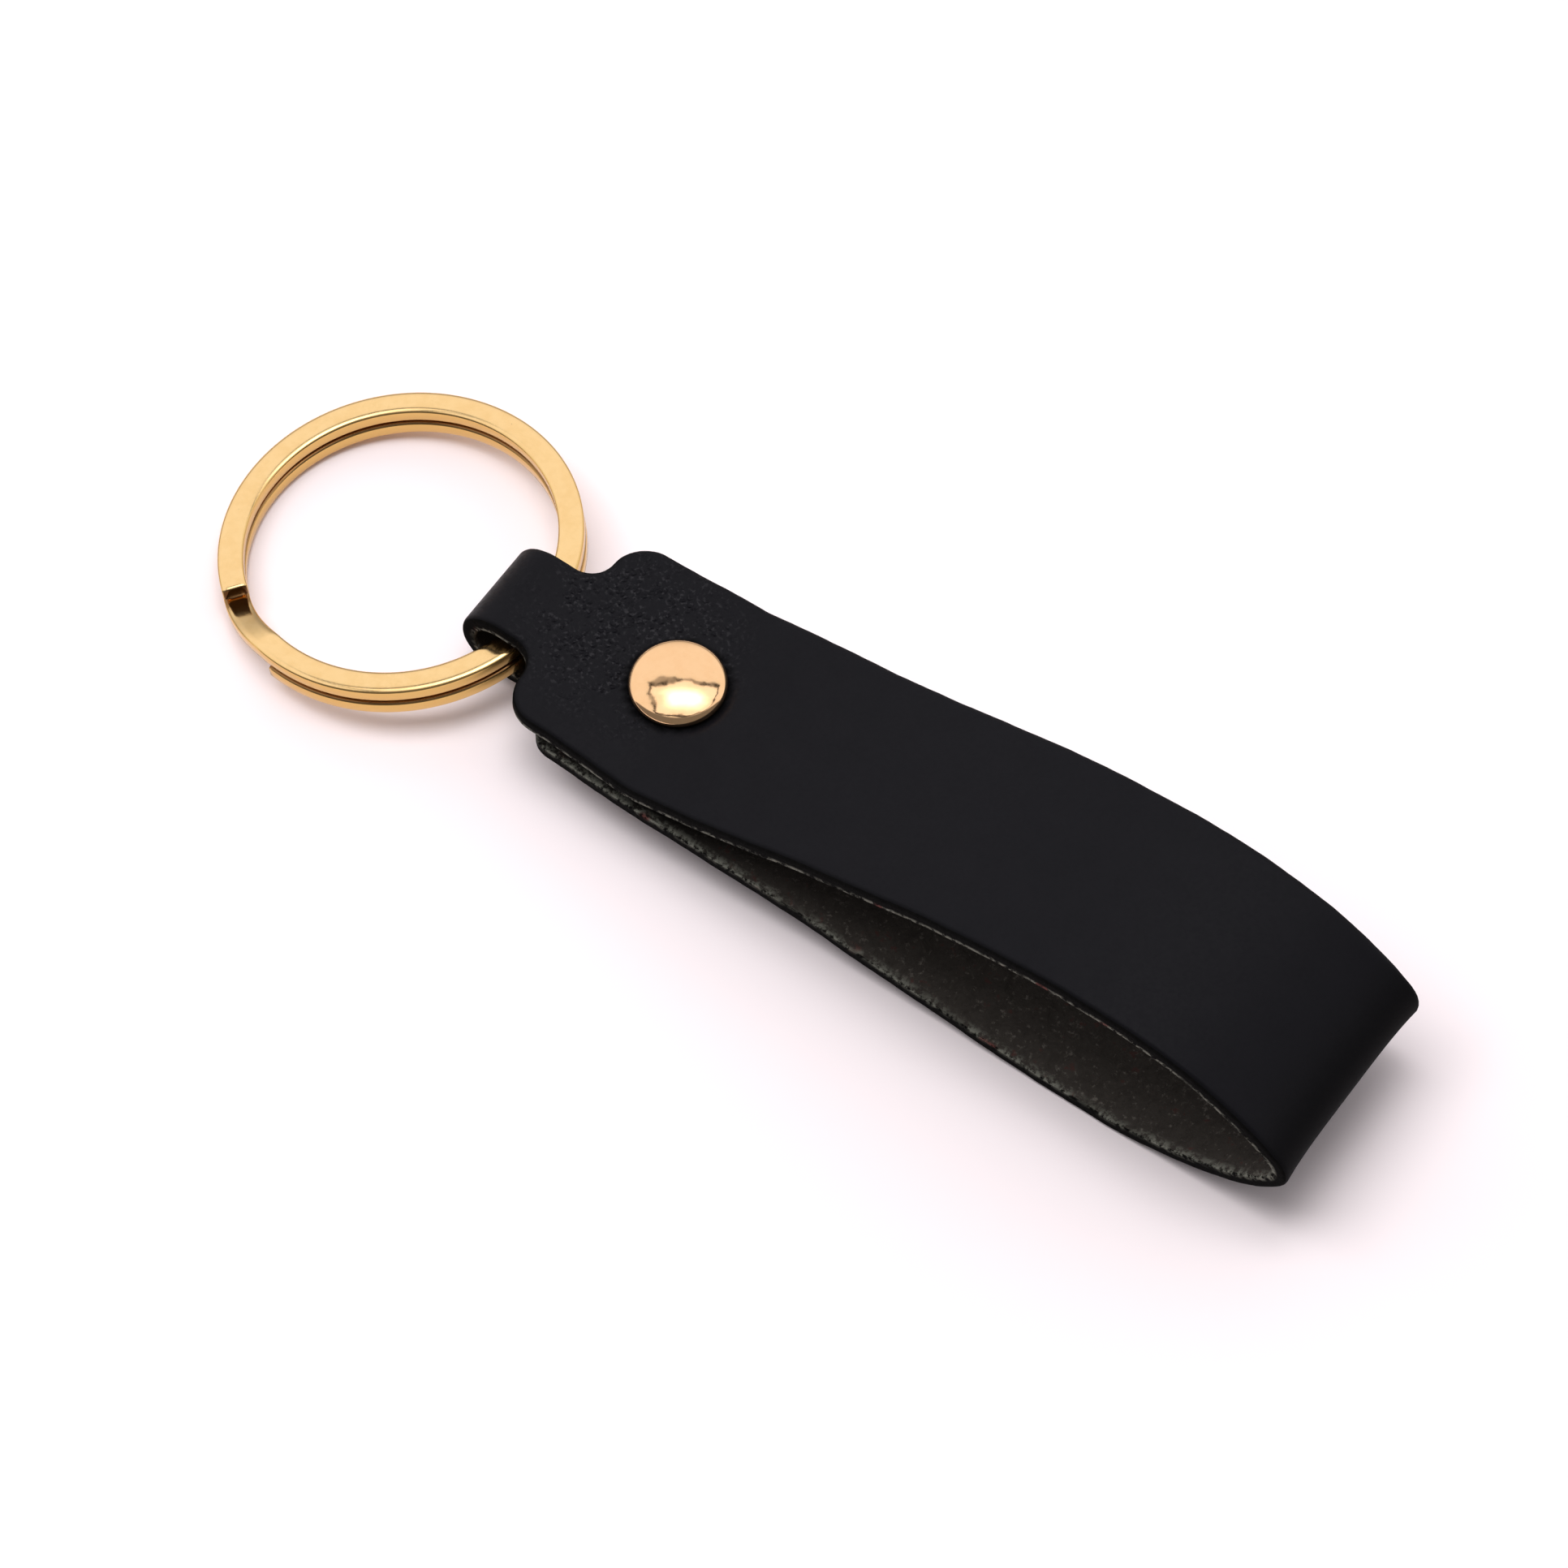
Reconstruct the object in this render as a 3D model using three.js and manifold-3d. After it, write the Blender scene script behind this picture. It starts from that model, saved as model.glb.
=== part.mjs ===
// Wristlet keychain: one leather strip folded into a finger loop, a flat split ring held in its
// narrow neck, and a double-cap rivet through the three leather layers.
//
// Millimetres, +Z up. X runs along the strap, from the split ring (-X) to the loop's fold (+X).
// While the shapes are worked out, x = 0 is the rivet's axis and z = 0 is the surface the keychain
// lies on. The finished group is then moved along X, so its origin is the middle of its footprint.

import * as THREE from 'three';
import { mergeVertices } from 'three/addons/utils/BufferGeometryUtils.js';
import Module from 'manifold-3d';

// ---- Driving dimensions ------------------------------------------------------------------------

// Leather strip
const leatherThickness = 1.4;
const layerGap = 0.1;            // air left between two stacked layers
const bodyWidth = 19;
const neckWidth = 8.3;
const cornerRadius = 2.8;        // convex corner of each shoulder
const filletRadius = 2.5;        // concave corner between neck and shoulder
const endRadius = 2;             // corners of the strip's two ends
const topFaceHeight = 8.3;       // grain side of the top layer at the rivet
const clampedHalfLength = 1.5;   // the layers are level this far to the loop side of the rivet
const shoulderX = -10.9;
const bottomEndX = -8.2;         // where the strip's wide end stops, under the shoulders
const tailEndX = 5.2;            // where the narrow tail stops, between the two wide layers

// Eye of the neck, the space that the ring turns in
const eyeRadius = 2.25;
const eyeX = -13.7;              // the ring's swing axis
const eyeZ = 5;
const eyeLength = 1.2;           // extra length of the eye, towards its fold
const eyeLeaveAngle = THREE.MathUtils.degToRad(15);
const neckHandle = 3;            // handle lengths of the curve from the eye down to the top layer

// Finger loop, along the middle of the leather's thickness
// `before` and `after` are the lengths of the curve's handles on either side, and `slope` is its
// direction there.
const topRun = { x: 20, z: 11.94, slope: THREE.MathUtils.degToRad(13.5), before: 8, after: 6 };
const crown = { x: 44.5, z: 16.7, before: 10, after: 6.8 };
const fold = {
  x: 60.85,
  z: 8.83,
  radius: 2.46,
  topAngle: THREE.MathUtils.degToRad(43),
  bottomAngle: THREE.MathUtils.degToRad(51.2),
  before: 6.7,
  after: 7.5,
};
const footPad = { from: 47.5, to: 42.5, before: 1.5, after: 4.5 };  // flat spot the loop stands on
const bottomRun = { x: 20, z: 3.11, slope: THREE.MathUtils.degToRad(7.9), before: 5, after: 6 };
const topRunStart = 1.5;         // handle length where the top run leaves the clamped stretch
const bottomRunEnd = 6;          // the same for the bottom run

// How finely the strip is cut into cross-sections
const cornerStep = 0.35;         // longest step across a rounded corner
const straightStep = 2.5;        // longest step along a gentle run
const gentleRun = 20;            // a run longer than this is a gentle one
const shortestStep = 0.005;
const turnStep = THREE.MathUtils.degToRad(9);

// Split ring
const ringOuterDiameter = 30;
const wireWidth = 2.15;
const wireThickness = 1.3;
const wireEdge = 0.3;            // bevel along the wire's four edges
const coilGap = 0.12;            // air between the two coils
const topEndAngle = -129;        // degrees, seen from above, 0 towards the strap
const crossoverStart = -464;     // where the wire leaves the upper level, going clockwise
const crossoverEnd = -488;
const bottomEndAngle = -820;
const ringStepAngle = 4;         // turn of one step along the wire

// Double-cap rivet
const capRadius = 4;
const capHeight = 1.45;
const capSideHeight = 0.75;
const capLipRadius = 3;
const capShell = 0.35;
const capEdge = 0.25;            // bevel along the cap's two outer edges
const capShoulder = 0.2;         // from the cap's side in to its dome
const capSegments = 40;
const domeSteps = 5;
const seatGap = 0.05;            // between a rivet piece and the leather under it
const fitGap = 0.3;              // between two rivet pieces
const dentDepth = 2;             // leather cleared above each cap's seat, where the cap presses in
const dentLift = 0.02;           // from the level leather up to the floor of that seat
const socketFlangeRadius = 2.7;
const socketFlangeThickness = 0.3;
const socketRadius = 1.6;
const socketBore = 1.15;
const socketDepth = 2.2;
const stemTipRadius = socketBore - fitGap;
const stemHeadRadius = 1.5;      // the crushed tip of the stem, wider than the socket's bore
const stemHeadHeight = 0.25;
const stemHeadEdge = 0.2;
const holeRadius = socketRadius + fitGap;
const dentRadius = capRadius + fitGap;

// ---- Sizes worked out from these ---------------------------------------------------------------

const layerPitch = leatherThickness + layerGap;
const topLayerZ = topFaceHeight - leatherThickness / 2;   // middle of each layer at the rivet
const tailLayerZ = topLayerZ - layerPitch;
const bottomLayerZ = tailLayerZ - layerPitch;
const bottomFaceHeight = bottomLayerZ - leatherThickness / 2;
const stackHeight = topFaceHeight - bottomFaceHeight;
const foldedNeckRadius = eyeRadius + leatherThickness / 2;
const ringMeanRadius = (ringOuterDiameter - wireWidth) / 2;
const ringThickness = 2 * wireThickness + coilGap;

// ---- Helpers -----------------------------------------------------------------------------------

// Extrudes a section through `steps` equal steps, then moves every vertex to place(step, x, y).
function sweep(section, steps, place) {
  const geometry = new THREE.ExtrudeGeometry(section, { depth: steps, steps, bevelEnabled: false });
  const position = geometry.attributes.position;
  for (let i = 0; i < position.count; i++) {
    const step = Math.round(position.getZ(i));
    const point = place(step, position.getX(i), position.getY(i));
    position.setXYZ(i, point.x, point.y, point.z);
  }
  return welded(geometry);
}

function welded(geometry) {
  geometry.deleteAttribute('normal');
  geometry.deleteAttribute('uv');
  const closed = mergeVertices(geometry, 1e-4);
  closed.computeVertexNormals();
  return closed;
}

// A closed outline of [radius, height] points turned about Z.
function turned(outline) {
  const points = [...outline, outline[0]].map(([radius, height]) => new THREE.Vector2(radius, height));
  return welded(new THREE.LatheGeometry(points, capSegments).rotateX(Math.PI / 2));
}

function cylinder(radius, fromZ, toZ) {
  const geometry = new THREE.CylinderGeometry(radius, radius, toZ - fromZ, capSegments);
  return welded(geometry.rotateX(Math.PI / 2).translate(0, 0, (fromZ + toZ) / 2));
}

function cut(geometry, tools) {
  const [body, ...cutters] = [geometry, ...tools].map((part) => {
    const bare = new THREE.BufferGeometry();
    bare.setAttribute('position', part.attributes.position);
    bare.setIndex(part.index);
    const closed = mergeVertices(bare);
    const mesh = new wasm.Mesh({
      numProp: 3,
      vertProperties: new Float32Array(closed.attributes.position.array),
      triVerts: new Uint32Array(closed.index.array),
    });
    return new wasm.Manifold(mesh);
  });
  const mesh = cutters.reduce((rest, cutter) => rest.subtract(cutter), body).getMesh();
  const result = new THREE.BufferGeometry();
  result.setAttribute('position', new THREE.BufferAttribute(mesh.vertProperties, 3));
  result.setIndex(new THREE.BufferAttribute(mesh.triVerts, 1));
  result.computeVertexNormals();
  return result;
}

function rectangle(width, height, bevel = 0) {
  const shape = new THREE.Shape();
  const x = width / 2;
  const y = height / 2;
  if (bevel === 0) {
    return shape.moveTo(-x, -y).lineTo(x, -y).lineTo(x, y).lineTo(-x, y).closePath();
  }
  shape.moveTo(bevel - x, -y).lineTo(x - bevel, -y).lineTo(x, bevel - y).lineTo(x, y - bevel);
  shape.lineTo(x - bevel, y).lineTo(bevel - x, y).lineTo(-x, y - bevel).lineTo(-x, bevel - y);
  return shape.closePath();
}

// ---- Leather strip -----------------------------------------------------------------------------

// The strip's side view in x and z, along the middle of its thickness, from the end of the tail,
// round the eye, along the top of the loop, round its fold and back below to the wide end.
function stripPath() {
  const path = new THREE.Path();
  const steepAngle = Math.PI / 2 - eyeLeaveAngle;
  const leaveZ = eyeZ - foldedNeckRadius * Math.sin(eyeLeaveAngle);
  const returnRadius = (tailLayerZ - leaveZ) / (1 - Math.cos(steepAngle));
  const returnX = eyeX + foldedNeckRadius * Math.cos(eyeLeaveAngle) + returnRadius * Math.sin(steepAngle);
  const eyeFoldX = eyeX - eyeLength;
  const eyeTopZ = eyeZ + foldedNeckRadius;
  const flatStartX = shoulderX + cornerRadius;
  const padZ = leatherThickness / 2;

  path.moveTo(tailEndX, tailLayerZ);
  path.lineTo(returnX, tailLayerZ);
  path.absarc(returnX, tailLayerZ - returnRadius, returnRadius, Math.PI / 2, Math.PI / 2 + steepAngle, false);
  path.absarc(eyeX, eyeZ, foldedNeckRadius, -eyeLeaveAngle, -Math.PI / 2, true);
  path.lineTo(eyeFoldX, eyeZ - foldedNeckRadius);
  path.absarc(eyeFoldX, eyeZ, foldedNeckRadius, -Math.PI / 2, Math.PI / 2, true);
  path.bezierCurveTo(
    eyeFoldX + neckHandle, eyeTopZ, flatStartX - neckHandle, topLayerZ, flatStartX, topLayerZ);
  const lengthToFlat = path.getLength();
  path.lineTo(clampedHalfLength, topLayerZ);
  path.bezierCurveTo(
    clampedHalfLength + topRunStart, topLayerZ, ...alongSlope(topRun, -topRun.before), topRun.x, topRun.z);
  path.bezierCurveTo(
    ...alongSlope(topRun, topRun.after), crown.x - crown.before, crown.z, crown.x, crown.z);

  const foldStart = pointOnFold(Math.PI / 2 - fold.topAngle);
  const foldEnd = pointOnFold(fold.bottomAngle - Math.PI / 2);
  path.bezierCurveTo(
    crown.x + crown.after, crown.z,
    foldStart.x - fold.before * Math.cos(fold.topAngle), foldStart.y + fold.before * Math.sin(fold.topAngle),
    foldStart.x, foldStart.y);
  path.absarc(fold.x, fold.z, fold.radius, Math.PI / 2 - fold.topAngle, fold.bottomAngle - Math.PI / 2, true);
  path.bezierCurveTo(
    foldEnd.x - fold.after * Math.cos(fold.bottomAngle), foldEnd.y - fold.after * Math.sin(fold.bottomAngle),
    footPad.from + footPad.before, padZ, footPad.from, padZ);
  path.lineTo(footPad.to, padZ);
  const descent = { ...bottomRun, slope: -bottomRun.slope };
  path.bezierCurveTo(
    footPad.to - footPad.after, padZ, ...alongSlope(descent, descent.before), descent.x, descent.z);
  path.bezierCurveTo(
    ...alongSlope(descent, -descent.after),
    clampedHalfLength + bottomRunEnd, bottomLayerZ, clampedHalfLength, bottomLayerZ);
  path.lineTo(bottomEndX, bottomLayerZ);
  return { path, shoulderS: lengthToFlat - cornerRadius };
}

// The end of a handle that leaves a point of the path along its slope, +X for a positive length.
function alongSlope(point, length) {
  return [point.x + length * Math.cos(point.slope), point.z + length * Math.sin(point.slope)];
}

function pointOnFold(angle) {
  return new THREE.Vector2(fold.x + fold.radius * Math.cos(angle), fold.z + fold.radius * Math.sin(angle));
}

// Height of a quarter circle of radius r, at a distance from its flat end.
function quarterRound(r, distance) {
  const along = Math.min(Math.max(r - distance, 0), r);
  return Math.sqrt(r * r - along * along);
}

// Half of the strip's width at arc length s, with its rounded ends, shoulders and fillets.
function halfWidthAt(s, total, shoulderS) {
  const neck = neckWidth / 2;
  const body = bodyWidth / 2;
  if (s < endRadius) return neck - endRadius + quarterRound(endRadius, s);
  if (s < shoulderS - filletRadius) return neck;
  if (s < shoulderS) return neck + filletRadius - quarterRound(filletRadius, shoulderS - s);
  if (s < shoulderS + cornerRadius) return body - cornerRadius + quarterRound(cornerRadius, s - shoulderS);
  if (s > total - endRadius) return body - endRadius + quarterRound(endRadius, total - s);
  return body;
}

// Arc lengths of the strip's cross-sections: close together where it bends or changes width.
function stationList(total, shoulderS, path) {
  const edgeOfShoulder = shoulderS + 2 * shortestStep;
  const breaks = [
    ...path.getCurveLengths(),
    endRadius,
    shoulderS - filletRadius,
    shoulderS,
    edgeOfShoulder,
    shoulderS + cornerRadius,
    total - endRadius,
  ].sort((a, b) => a - b);
  const stations = [0];
  for (const stop of breaks) {
    const start = stations[stations.length - 1];
    const length = stop - start;
    if (length < shortestStep) continue;
    const atCorner = stop <= endRadius || stop > total - endRadius
      || (stop > shoulderS - filletRadius && stop <= shoulderS + cornerRadius);
    const bend = path.getTangentAt(start / total).dot(path.getTangentAt(Math.min(stop / total, 1)));
    const turn = Math.acos(THREE.MathUtils.clamp(bend, -1, 1));
    const steps = Math.max(
      1,
      Math.ceil(turn / turnStep),
      atCorner ? Math.ceil(length / cornerStep) : 0,
      length > gentleRun ? Math.ceil(length / straightStep) : 0,
    );
    for (let i = 1; i <= steps; i++) stations.push(start + (length * i) / steps);
  }
  return stations;
}

function strapGeometry() {
  const { path, shoulderS } = stripPath();
  const total = path.getLength();
  const stations = stationList(total, shoulderS, path);
  const section = rectangle(2, leatherThickness);   // its x runs from -1 to 1 across the strip
  const strip = sweep(section, stations.length - 1, (step, side, outward) => {
    const s = stations[step];
    const point = path.getPointAt(s / total);
    const tangent = path.getTangentAt(s / total);
    return new THREE.Vector3(
      point.x - tangent.y * outward,
      side * halfWidthAt(s, total, shoulderS),
      point.y + tangent.x * outward,
    );
  });
  const top = topFaceHeight + dentLift;
  const bottom = bottomFaceHeight - dentLift;
  return cut(strip, [
    cylinder(holeRadius, bottom - dentDepth, top + dentDepth),
    cylinder(dentRadius, top, top + dentDepth),
    cylinder(dentRadius, bottom - dentDepth, bottom),
  ]);
}

// ---- Split ring --------------------------------------------------------------------------------

// The wire's height at an angle: the upper level, the crossover's slope, then the lower level.
function wireHeight(angle) {
  const level = (wireThickness + coilGap) / 2;
  return level - 2 * level * THREE.MathUtils.smoothstep(-angle, -crossoverStart, -crossoverEnd);
}

// The ring's swing axis is its mesh's origin; the ring's centre lies towards -X.
function splitRingGeometry() {
  const sweepAngle = topEndAngle - bottomEndAngle;
  const steps = Math.ceil(sweepAngle / ringStepAngle);
  return sweep(rectangle(wireWidth, wireThickness, wireEdge), steps, (step, out, up) => {
    const angle = topEndAngle - (sweepAngle * step) / steps;
    const radius = ringMeanRadius + out;
    const turn = THREE.MathUtils.degToRad(angle);
    return new THREE.Vector3(
      radius * Math.cos(turn) - ringMeanRadius,
      radius * Math.sin(turn),
      wireHeight(angle) + up,
    );
  });
}

// How far the ring slopes down from the eye, for its far edge to touch the surface below.
function ringSlope() {
  const reach = ringMeanRadius + ringOuterDiameter / 2;
  const distance = Math.hypot(reach, ringThickness / 2);
  return Math.asin(eyeZ / distance) - Math.atan2(ringThickness / 2, reach);
}

// ---- Double-cap rivet --------------------------------------------------------------------------

// Heights are measured from the leather's face, outwards.
function capGeometry() {
  const rimRadius = capRadius - capShoulder;
  const domeRise = capHeight - capSideHeight;
  const domeRadius = (rimRadius * rimRadius + domeRise * domeRise) / (2 * domeRise);
  const outside = [];
  const inside = [];
  for (let i = 0; i <= domeSteps; i++) {
    const tilt = (Math.asin(rimRadius / domeRadius) * i) / domeSteps;
    const innerTilt = tilt * (1 - capShell / rimRadius);
    const innerRadius = domeRadius - capShell;
    outside.unshift([domeRadius * Math.sin(tilt), capHeight - domeRadius * (1 - Math.cos(tilt))]);
    inside.push([
      innerRadius * Math.sin(innerTilt),
      capHeight - capShell - innerRadius * (1 - Math.cos(innerTilt)),
    ]);
  }
  const lipTop = seatGap + capShell;
  return turned([
    [capLipRadius, seatGap],
    [capRadius - capEdge, seatGap],
    [capRadius, seatGap + capEdge],
    [capRadius, capSideHeight - capEdge],
    ...outside,
    ...inside,
    [rimRadius - capShell, lipTop],
    [capLipRadius, lipTop],
  ]);
}

function socketGeometry() {
  const top = seatGap + socketFlangeThickness;
  return turned([
    [socketBore, -socketDepth],
    [socketRadius, -socketDepth],
    [socketRadius, seatGap],
    [socketFlangeRadius, seatGap],
    [socketFlangeRadius, top],
    [socketBore, top],
  ]);
}

// Heights are measured from the bottom layer's face, inwards, so the flange lies below zero.
function postGeometry() {
  const neckHeight = stackHeight - socketDepth - fitGap;
  const headBottom = stackHeight + seatGap + socketFlangeThickness + fitGap;
  const headTop = headBottom + stemHeadHeight;
  return turned([
    [0, headTop],
    [0, -seatGap - socketFlangeThickness],
    [socketFlangeRadius, -seatGap - socketFlangeThickness],
    [socketFlangeRadius, -seatGap],
    [socketRadius, -seatGap],
    [socketRadius, neckHeight],
    [stemTipRadius, neckHeight],
    [stemTipRadius, headBottom],
    [stemHeadRadius, headBottom],
    [stemHeadRadius - stemHeadEdge, headTop],
  ]);
}

// ---- Assembly ----------------------------------------------------------------------------------

function mesh(name, geometry, color, roughness, metalness) {
  const part = new THREE.Mesh(geometry, new THREE.MeshStandardMaterial({ color, roughness, metalness }));
  part.name = name;
  return part;
}

const wasm = await Module();
wasm.setup();

const strap = mesh('strap', strapGeometry(), '#1f1e22', 0.6, 0);

const splitRing = mesh('split_ring', splitRingGeometry(), '#e6b876', 0.25, 1);
splitRing.position.set(eyeX, 0, eyeZ);
splitRing.rotation.y = -ringSlope();

const topCap = mesh('rivet_top_cap', capGeometry(), '#edb285', 0.15, 1);
topCap.position.z = topFaceHeight;

const socket = mesh('rivet_socket', socketGeometry(), '#c9a26c', 0.35, 1);
socket.position.z = topFaceHeight;

const post = mesh('rivet_post', postGeometry(), '#c9a26c', 0.35, 1);
post.position.z = bottomFaceHeight;

const baseCap = mesh('rivet_base_cap', capGeometry(), '#edb285', 0.15, 1);
baseCap.position.z = bottomFaceHeight;
baseCap.rotation.x = Math.PI;

const keychain = new THREE.Group();
keychain.add(strap, splitRing, topCap, socket, post, baseCap);
const bounds = new THREE.Box3().setFromObject(keychain, true);
keychain.position.x = -(bounds.min.x + bounds.max.x) / 2;

export default keychain;
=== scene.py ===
"""The looks of the wristlet keychain: a black leather strap, a gold split ring and a domed rivet.

Shapes are worked out in millimetres, with x = 0 on the rivet's axis and z = 0 on the surface that
the keychain lies on. They are turned into metres in the part's own frame when a mesh is made.
"""

import math

import bpy
import numpy as np
from mathutils import Matrix, Vector


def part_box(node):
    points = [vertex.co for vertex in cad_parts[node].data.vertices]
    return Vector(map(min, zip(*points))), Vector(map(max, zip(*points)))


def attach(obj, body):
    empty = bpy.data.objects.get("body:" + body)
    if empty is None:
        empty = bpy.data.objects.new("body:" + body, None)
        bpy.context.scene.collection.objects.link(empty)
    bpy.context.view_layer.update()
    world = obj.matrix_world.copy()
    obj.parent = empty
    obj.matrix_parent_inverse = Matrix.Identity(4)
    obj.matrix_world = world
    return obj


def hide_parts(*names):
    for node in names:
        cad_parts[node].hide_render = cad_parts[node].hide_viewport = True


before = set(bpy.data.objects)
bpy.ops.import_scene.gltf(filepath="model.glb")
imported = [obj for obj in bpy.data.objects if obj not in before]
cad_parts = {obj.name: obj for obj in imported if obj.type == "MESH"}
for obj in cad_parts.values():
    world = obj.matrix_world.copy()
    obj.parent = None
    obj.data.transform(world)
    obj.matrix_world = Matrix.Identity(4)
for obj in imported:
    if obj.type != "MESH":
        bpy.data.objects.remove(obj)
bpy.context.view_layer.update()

MM = 0.001
cap_low, cap_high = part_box("rivet_top_cap")
RIVET_X = (cap_low[0] + cap_high[0]) / 2

# ---- Sizes of the leather strip ----------------------------------------------------------------

THICKNESS = 1.4
HALF_THICKNESS = THICKNESS / 2
LAYER_GAP = 0.1
BODY_WIDTH = 19.0
NECK_WIDTH = 8.3
FILLET_RADIUS = 2.2
CORNER_RADIUS = (BODY_WIDTH - NECK_WIDTH) / 2 - FILLET_RADIUS
END_RADIUS = 2.0
TOP_FACE_HEIGHT = 8.3
CLAMPED_HALF_LENGTH = 1.5
SHOULDER_X = -10.9
FLAT_START_X = -8.1
BOTTOM_END_X = -8.2
TAIL_END_X = 5.2

EYE_RADIUS = 2.25
EYE_X = -13.7
EYE_Z = 5.0
EYE_LENGTH = 1.2
EYE_LEAVE_ANGLE = math.radians(15)
NECK_HANDLE = 3.0

# The side view's control points. "before" and "after" are the lengths of a curve's handles.
TOP_RUN = dict(x=20, z=11.94, slope=math.radians(13.5), before=8, after=6)
CROWN = dict(x=44.5, z=16.7, before=10, after=6.8)
FOLD = dict(
    x=60.85, z=8.83, radius=2.46, before=6.7, after=7.5,
    top_angle=math.radians(43), bottom_angle=math.radians(51.2),
)
FOOT_PAD = dict(start=47.5, stop=42.5, before=1.5, after=4.5)
BOTTOM_RUN = dict(x=20, z=3.11, slope=math.radians(-7.9), before=5, after=6)
TOP_RUN_START = 1.5
BOTTOM_RUN_END = 6.0

PITCH = THICKNESS + LAYER_GAP
TOP_LAYER_Z = TOP_FACE_HEIGHT - HALF_THICKNESS
TAIL_LAYER_Z = TOP_LAYER_Z - PITCH
BOTTOM_LAYER_Z = TAIL_LAYER_Z - PITCH
BOTTOM_FACE_HEIGHT = BOTTOM_LAYER_Z - HALF_THICKNESS

# ---- The strip's mesh and its edge -------------------------------------------------------------

COLUMNS = 28                 # faces across the strip
ACROSS = np.linspace(-1, 1, COLUMNS + 1)
CORNER_POINTS = 13
NECK_STEP = 0.25             # about how long its faces are along the neck, and along the body
BODY_STEP = 0.45

GRAIN_EDGE = 0.5             # how far in the grain face starts to roll over into the cut edge
GRAIN_DROP = 0.42            # how far down it rolls
GRAIN_EDGE_RINGS = 7         # rings of points over that roll
GRAIN_BANDS = 3              # bands of faces at its top that still have the grain's material
CUT_EDGE_HEIGHTS = (0.15, 0.0, -0.15, -0.28, -0.42, -0.55)
FLESH_EDGE = 0.12            # the small round between the cut edge and the flesh side
EDGE_WAVE = 0.05             # how far the hand-cut edge wanders
SLOW_WAVE = 23.0             # the lengths of its long wanders and of its short ones
QUICK_WAVE = 3.1
QUICK_SHARE = 0.3            # the short ones' size, as a share of the long ones'
WANDER_KEPT = 0.4            # the share of the wander that is left where the face begins
FIBRE_DEPTH = (0.2, 0.4)     # how far below the middle of the cut edge the pale fibre comes in
FLESH_RIM_FIBRE = 0.8        # how much of it there is at the rim of the flesh side
FLESH_RIM_WIDTH = 0.14

# ---- How the leather eases out of shape --------------------------------------------------------

FAR_LIFT = 0.35              # how far the top layer springs up beside the rivet, on the +Y side
NEAR_DROOP = 0.4             # how far it droops there, on the -Y side
FAR_SPREAD = 0.15            # how far the pressed layers spread outwards beside the rivet
NEAR_SPREAD = 0.4
BESIDE_FROM, BESIDE_TO = (-7, 4), (6, 22)     # where along x the spread and droop come and go
LIFT_FROM, LIFT_TO = (-9, 1), (3, 15)         # where along x the lift comes and goes
DROOP_START = 1.5            # how far from the middle line the droop starts
CAP_GRIP = (0.1, 2.6)        # from the cap's rim out: held down by it, and free of it

FOLD_FLARE = 0.35            # how far the edges stand out past the middle, round the loop's fold
FLARE_LENGTH = (-9, 1)       # where along x that comes in, from the middle of the fold
FLARE_PINCH = 0.4            # the share of it by which the strip's middle draws in

SEAT_SLACK = 0.01            # how far out of the clamped face the pressed leather may stand
SEAT_RIM = (0.12, 1.0)       # from the cap's rim out: fully pressed in, and free

# ---- Where the leather looks different ---------------------------------------------------------

WORKED_CENTRE = (-5.5, 1.5)  # the middle of the worked patch, along and across from the rivet
WORKED_STRETCH = 1.1         # how much longer it is than wide
WORKED_FADE = (5.0, 10.5)    # how far from its middle it fades
CAP_RIM_SHADE_START = 0.3           # how far inside the cap's rim the painted contact shade starts
CAP_RIM_SHADE_FADE = (0.1, 0.5)    # how far outside the rim it fades
FOLD_MATT_AND_SHADE = 0.7              # how matt the grain is round the fold, and how dark the painted shade there is
FOLD_SHADE_FADE = (1.5, 6.5)
UPTURNED_LENGTH = 8          # over what length past the fold the cut edge's fibre thins out
UPTURNED_RIM = (0.05, 0.15)  # how far from the flesh side that thinning starts
UPTURNED_LOSS = 0.7          # how much of the fibre it takes away
SHUT_IN_SHADE = 0.75               # how dark the painted shade on the flesh side is, between the layers and in the neck
SHUT_IN_SHADE_FADE = (2, 16)       # where along x that ends

# ---- Sizes of the rivet caps -------------------------------------------------------------------

CAP_RADIUS = 4.0
CAP_TOP = 1.45               # the dome's height off the leather
CAP_SHELL = 0.35             # the sheet's thickness
CAP_SEAT = 0.05              # how far the rim stands off the leather
CAP_DOME_EDGE = 3.3          # how far out the dome turns into the rolled rim
CAP_DOME_RADIUS = 10.6
CAP_ROLL = 0.7
CAP_BORE = 3.0               # the radius of the opening under the cap
CAP_SEGMENTS = 96

# ---- Sizes of the split ring -------------------------------------------------------------------

RING_DIAMETER = 30.0
WIRE_WIDTH = 2.15
WIRE_THICKNESS = 1.3
WIRE_EASE_WIDE = 0.6         # the wire's eased edges, across its face and down its side
WIRE_EASE_HIGH = 0.2
WIRE_BULGE = 0.05            # how far the wire's side walls bow out
CUT_END_EASE = 0.07          # how far from its cut ends the wire starts to narrow
CUT_END_SIZE = 0.9           # how much of its section is left at the ends
COIL_GAP = 0.12
COIL_OFFSET = (0.09, -0.12)  # how far the lower coil sits off the upper one
TOP_END_ANGLE = -129.0
CROSSOVER_START = -464.0
CROSSOVER_END = -488.0
BOTTOM_END_ANGLE = -820.0
RING_STEP = 1.5
RING_MEAN_RADIUS = (RING_DIAMETER - WIRE_WIDTH) / 2
RING_HEIGHT = 2 * WIRE_THICKNESS + COIL_GAP

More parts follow.
